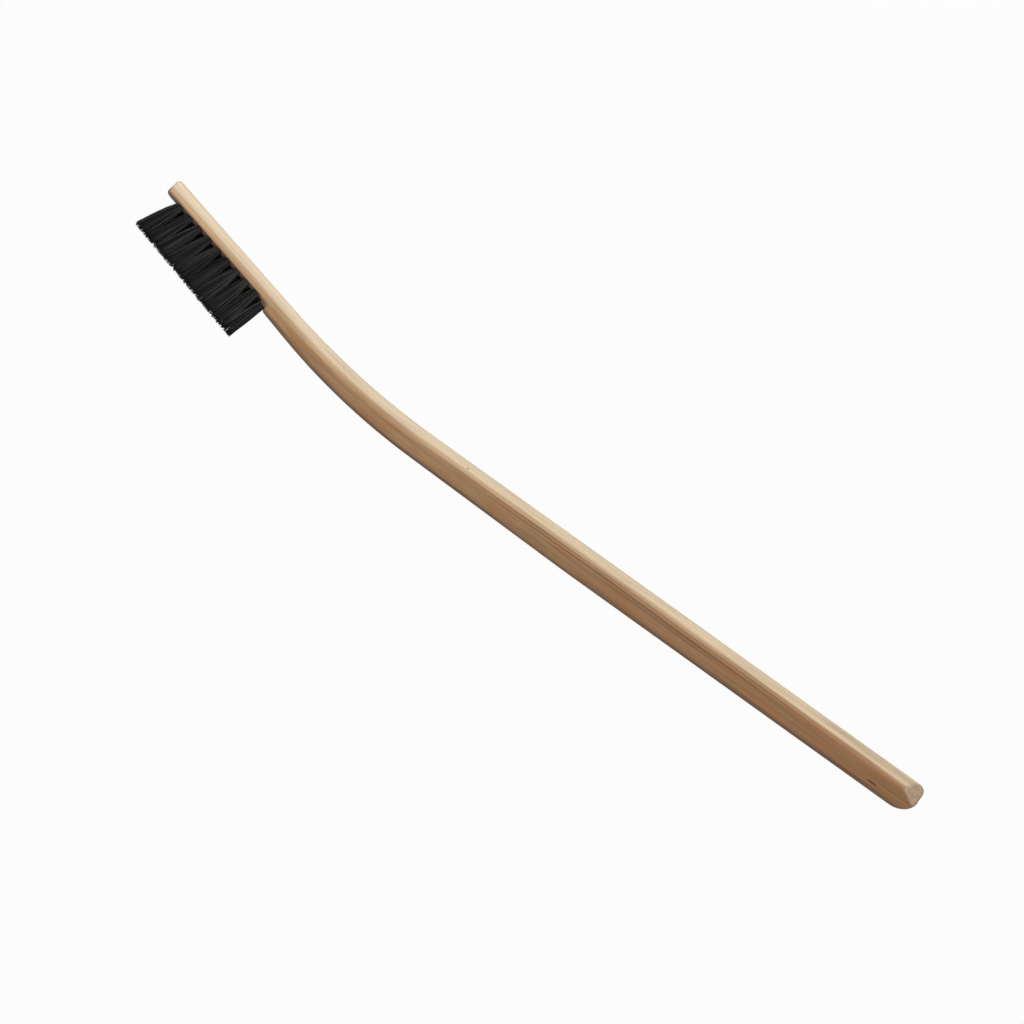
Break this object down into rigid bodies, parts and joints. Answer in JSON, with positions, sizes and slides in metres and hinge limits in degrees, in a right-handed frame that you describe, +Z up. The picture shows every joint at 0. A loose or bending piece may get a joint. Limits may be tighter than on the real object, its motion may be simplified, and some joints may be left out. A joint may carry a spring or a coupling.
{
  "type": "crevice brush",
  "caption": "Long slim wooden brush with a bent handle and a narrow head of stiff black bristle tufts, for scrubbing joints, corners and gaps.",
  "frame": {"origin": "middle of the underside of the brush's box, with the brush lying on its side", "axes": "+X from the grip towards the tip, +Y the way the bristles point, +Z up across the handle"},
  "size_m": [0.3808, 0.0466, 0.0084],
  "materials": {
    "oiled_beech": "sanded and oiled",
    "black_fibre": "matte stiff fibre",
    "anchor_wire": "bright flat wire"
  },
  "bodies": {
    "root": {"handle": "oiled_beech", "tuft_left_01": "black_fibre", "tuft_left_02": "black_fibre", "tuft_left_03": "black_fibre", "tuft_left_04": "black_fibre", "tuft_left_05": "black_fibre", "tuft_left_06": "black_fibre", "tuft_left_07": "black_fibre", "tuft_left_08": "black_fibre", "tuft_left_09": "black_fibre", "tuft_left_10": "black_fibre", "tuft_right_01": "black_fibre", "tuft_right_02": "black_fibre", "tuft_right_03": "black_fibre", "tuft_right_04": "black_fibre", "tuft_right_05": "black_fibre", "tuft_right_06": "black_fibre", "tuft_right_07": "black_fibre", "tuft_right_08": "black_fibre", "tuft_right_09": "black_fibre", "tuft_anchors": "anchor_wire"}
  },
  "joints": []
}
